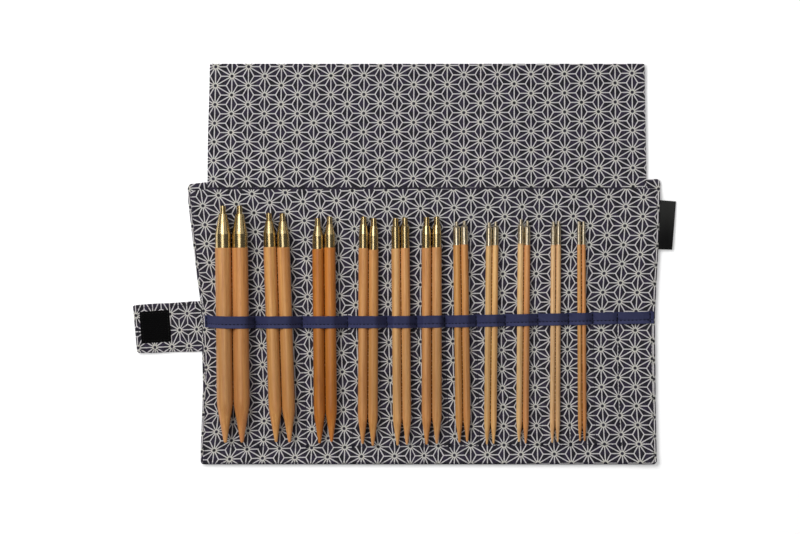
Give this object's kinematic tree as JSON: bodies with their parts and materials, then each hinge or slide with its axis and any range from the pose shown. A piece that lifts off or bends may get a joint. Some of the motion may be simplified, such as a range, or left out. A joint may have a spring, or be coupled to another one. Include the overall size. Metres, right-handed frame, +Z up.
{
  "type": "knitting needle set",
  "caption": "Folding cloth needle case, lying open, with pairs of bamboo interchangeable knitting needle ends in a stitched band of loops, a cover flap and a hook and loop tab.",
  "frame": {"origin": "middle of the spine on the underside, where the open case rests", "axes": "+X to the right across the open case, +Y towards the needles' threaded ends and the flap, +Z up"},
  "size_m": [0.3326, 0.2465, 0.0137],
  "materials": {
    "printed_cotton": "printed plain weave",
    "navy_band": "satin-faced tape",
    "patch": "hook and loop tape",
    "label_ribbon": "bare woven ribbon",
    "bamboo": "polished bamboo",
    "brass": "polished brass"
  },
  "bodies": {
    "right_cover": {"outer_right": "printed_cotton", "lining_right": "printed_cotton", "band_right": "navy_band", "loop_patch": "patch", "label": "label_ribbon"},
    "spine": {"spine_cloth": "printed_cotton", "band_spine": "navy_band"},
    "left_cover": {"outer_left": "printed_cotton", "lining_left": "printed_cotton", "band_left": "navy_band"},
    "right_flap": {"flap_right": "printed_cotton"},
    "middle_flap": {"flap_middle": "printed_cotton"},
    "left_flap": {"flap_left": "printed_cotton"},
    "tab_side": {"tab_root": "printed_cotton"},
    "tab_tip": {"tab_end": "printed_cotton", "hook_patch": "patch"},
    "needle_01_left": {"pair_01_left_shaft": "bamboo", "pair_01_left_ferrule": "brass"},
    "needle_01_right": {"pair_01_right_shaft": "bamboo", "pair_01_right_ferrule": "brass"},
    "needle_02_left": {"pair_02_left_shaft": "bamboo", "pair_02_left_ferrule": "brass"},
    "needle_02_right": {"pair_02_right_shaft": "bamboo", "pair_02_right_ferrule": "brass"},
    "needle_03_left": {"pair_03_left_shaft": "bamboo", "pair_03_left_ferrule": "brass"},
    "needle_03_right": {"pair_03_right_shaft": "bamboo", "pair_03_right_ferrule": "brass"},
    "needle_04_left": {"pair_04_left_shaft": "bamboo", "pair_04_left_ferrule": "brass"},
    "needle_04_right": {"pair_04_right_shaft": "bamboo", "pair_04_right_ferrule": "brass"},
    "needle_05_left": {"pair_05_left_shaft": "bamboo", "pair_05_left_ferrule": "brass"},
    "needle_05_right": {"pair_05_right_shaft": "bamboo", "pair_05_right_ferrule": "brass"},
    "needle_06_left": {"pair_06_left_shaft": "bamboo", "pair_06_left_ferrule": "brass"},
    "needle_06_right": {"pair_06_right_shaft": "bamboo", "pair_06_right_ferrule": "brass"},
    "needle_07_left": {"pair_07_left_shaft": "bamboo", "pair_07_left_ferrule": "brass"},
    "needle_07_right": {"pair_07_right_shaft": "bamboo", "pair_07_right_ferrule": "brass"},
    "needle_08_left": {"pair_08_left_shaft": "bamboo", "pair_08_left_ferrule": "brass"},
    "needle_08_right": {"pair_08_right_shaft": "bamboo", "pair_08_right_ferrule": "brass"},
    "needle_09_left": {"pair_09_left_shaft": "bamboo", "pair_09_left_ferrule": "brass"},
    "needle_09_right": {"pair_09_right_shaft": "bamboo", "pair_09_right_ferrule": "brass"},
    "needle_10_left": {"pair_10_left_shaft": "bamboo", "pair_10_left_ferrule": "brass"},
    "needle_10_right": {"pair_10_right_shaft": "bamboo", "pair_10_right_ferrule": "brass"},
    "needle_11_left": {"pair_11_left_shaft": "bamboo", "pair_11_left_ferrule": "brass"},
    "needle_11_right": {"pair_11_right_shaft": "bamboo", "pair_11_right_ferrule": "brass"}
  },
  "joints": [
    {"name": "spine_fold", "type": "hinge", "parent": "right_cover", "child": "spine", "pos_m": [0.0085, 0, 0.0049], "axis": [0, 1, 0], "range_deg": [0, 90]},
    {"name": "left_fold", "type": "hinge", "parent": "spine", "child": "left_cover", "pos_m": [-0.0085, 0, 0.0049], "axis": [0, 1, 0], "range_deg": [0, 90]},
    {"name": "flap_fold", "type": "hinge", "parent": "right_cover", "child": "right_flap", "pos_m": [0.07, 0.0827, 0.00762], "axis": [-1, 0, 0], "range_deg": [-180, 0]},
    {"name": "flap_fold_middle", "type": "hinge", "parent": "spine", "child": "middle_flap", "pos_m": [0, 0.0827, 0.00762], "axis": [-1, 0, 0], "range_deg": [-180, 0]},
    {"name": "flap_fold_left", "type": "hinge", "parent": "left_cover", "child": "left_flap", "pos_m": [-0.07, 0.0827, 0.00762], "axis": [-1, 0, 0], "range_deg": [-180, 0]},
    {"name": "tab_fold", "type": "hinge", "parent": "left_cover", "child": "tab_side", "pos_m": [-0.14187, -0.0022, 0.0056], "axis": [0.0454, -0.999, 0], "range_deg": [-90, 0]},
    {"name": "tab_wrap", "type": "hinge", "parent": "tab_side", "child": "tab_tip", "pos_m": [-0.16035, -0.00304, 0.0056], "axis": [0.0454, -0.999, 0], "range_deg": [-90, 0]},
    {"name": "needle_01_left_slide", "type": "slide", "parent": "left_cover", "child": "needle_01_left", "axis": [-0.0108, 0.9999, 0], "range_m": [0, 0.09]},
    {"name": "needle_01_right_slide", "type": "slide", "parent": "left_cover", "child": "needle_01_right", "axis": [-0.0108, 0.9999, 0], "range_m": [0, 0.09]},
    {"name": "needle_02_left_slide", "type": "slide", "parent": "left_cover", "child": "needle_02_left", "axis": [-0.0324, 0.9995, 0], "range_m": [0, 0.09]},
    {"name": "needle_02_right_slide", "type": "slide", "parent": "left_cover", "child": "needle_02_right", "axis": [-0.0324, 0.9995, 0], "range_m": [0, 0.09]},
    {"name": "needle_03_left_slide", "type": "slide", "parent": "left_cover", "child": "needle_03_left", "axis": [-0.0092, 1, 0], "range_m": [0, 0.09]},
    {"name": "needle_03_right_slide", "type": "slide", "parent": "left_cover", "child": "needle_03_right", "axis": [-0.0092, 1, 0], "range_m": [0, 0.09]},
    {"name": "needle_04_left_slide", "type": "slide", "parent": "left_cover", "child": "needle_04_left", "axis": [0.0041, 1, 0], "range_m": [0, 0.09]},
    {"name": "needle_04_right_slide", "type": "slide", "parent": "left_cover", "child": "needle_04_right", "axis": [0.0041, 1, 0], "range_m": [0, 0.09]},
    {"name": "needle_05_left_slide", "type": "slide", "parent": "left_cover", "child": "needle_05_left", "axis": [-0.0091, 1, 0], "range_m": [0, 0.09]},
    {"name": "needle_05_right_slide", "type": "slide", "parent": "left_cover", "child": "needle_05_right", "axis": [-0.0091, 1, 0], "range_m": [0, 0.09]},
    {"name": "needle_06_left_slide", "type": "slide", "parent": "spine", "child": "needle_06_left", "axis": [-0.0004, 1, 0], "range_m": [0, 0.09]},
    {"name": "needle_06_right_slide", "type": "slide", "parent": "spine", "child": "needle_06_right", "axis": [-0.0004, 1, 0], "range_m": [0, 0.09]},
    {"name": "needle_07_left_slide", "type": "slide", "parent": "right_cover", "child": "needle_07_left", "axis": [-0.0132, 0.9999, 0], "range_m": [0, 0.09]},
    {"name": "needle_07_right_slide", "type": "slide", "parent": "right_cover", "child": "needle_07_right", "axis": [-0.0132, 0.9999, 0], "range_m": [0, 0.09]},
    {"name": "needle_08_left_slide", "type": "slide", "parent": "right_cover", "child": "needle_08_left", "axis": [0.0098, 1, 0], "range_m": [0, 0.09]},
    {"name": "needle_08_right_slide", "type": "slide", "parent": "right_cover", "child": "needle_08_right", "axis": [0.0098, 1, 0], "range_m": [0, 0.09]},
    {"name": "needle_09_left_slide", "type": "slide", "parent": "right_cover", "child": "needle_09_left", "axis": [0.0082, 1, 0], "range_m": [0, 0.09]},
    {"name": "needle_09_right_slide", "type": "slide", "parent": "right_cover", "child": "needle_09_right", "axis": [0.0082, 1, 0], "range_m": [0, 0.09]},
    {"name": "needle_10_left_slide", "type": "slide", "parent": "right_cover", "child": "needle_10_left", "axis": [0.0049, 1, 0], "range_m": [0, 0.09]},
    {"name": "needle_10_right_slide", "type": "slide", "parent": "right_cover", "child": "needle_10_right", "axis": [0.0049, 1, 0], "range_m": [0, 0.09]},
    {"name": "needle_11_left_slide", "type": "slide", "parent": "right_cover", "child": "needle_11_left", "axis": [-0.005, 1, 0], "range_m": [0, 0.09]},
    {"name": "needle_11_right_slide", "type": "slide", "parent": "right_cover", "child": "needle_11_right", "axis": [-0.005, 1, 0], "range_m": [0, 0.09]}
  ],
  "couplings": [
    {"joint": "left_fold", "follows": "spine_fold", "ratio": 1},
    {"joint": "flap_fold_middle", "follows": "flap_fold", "ratio": 1},
    {"joint": "flap_fold_left", "follows": "flap_fold", "ratio": 1}
  ]
}
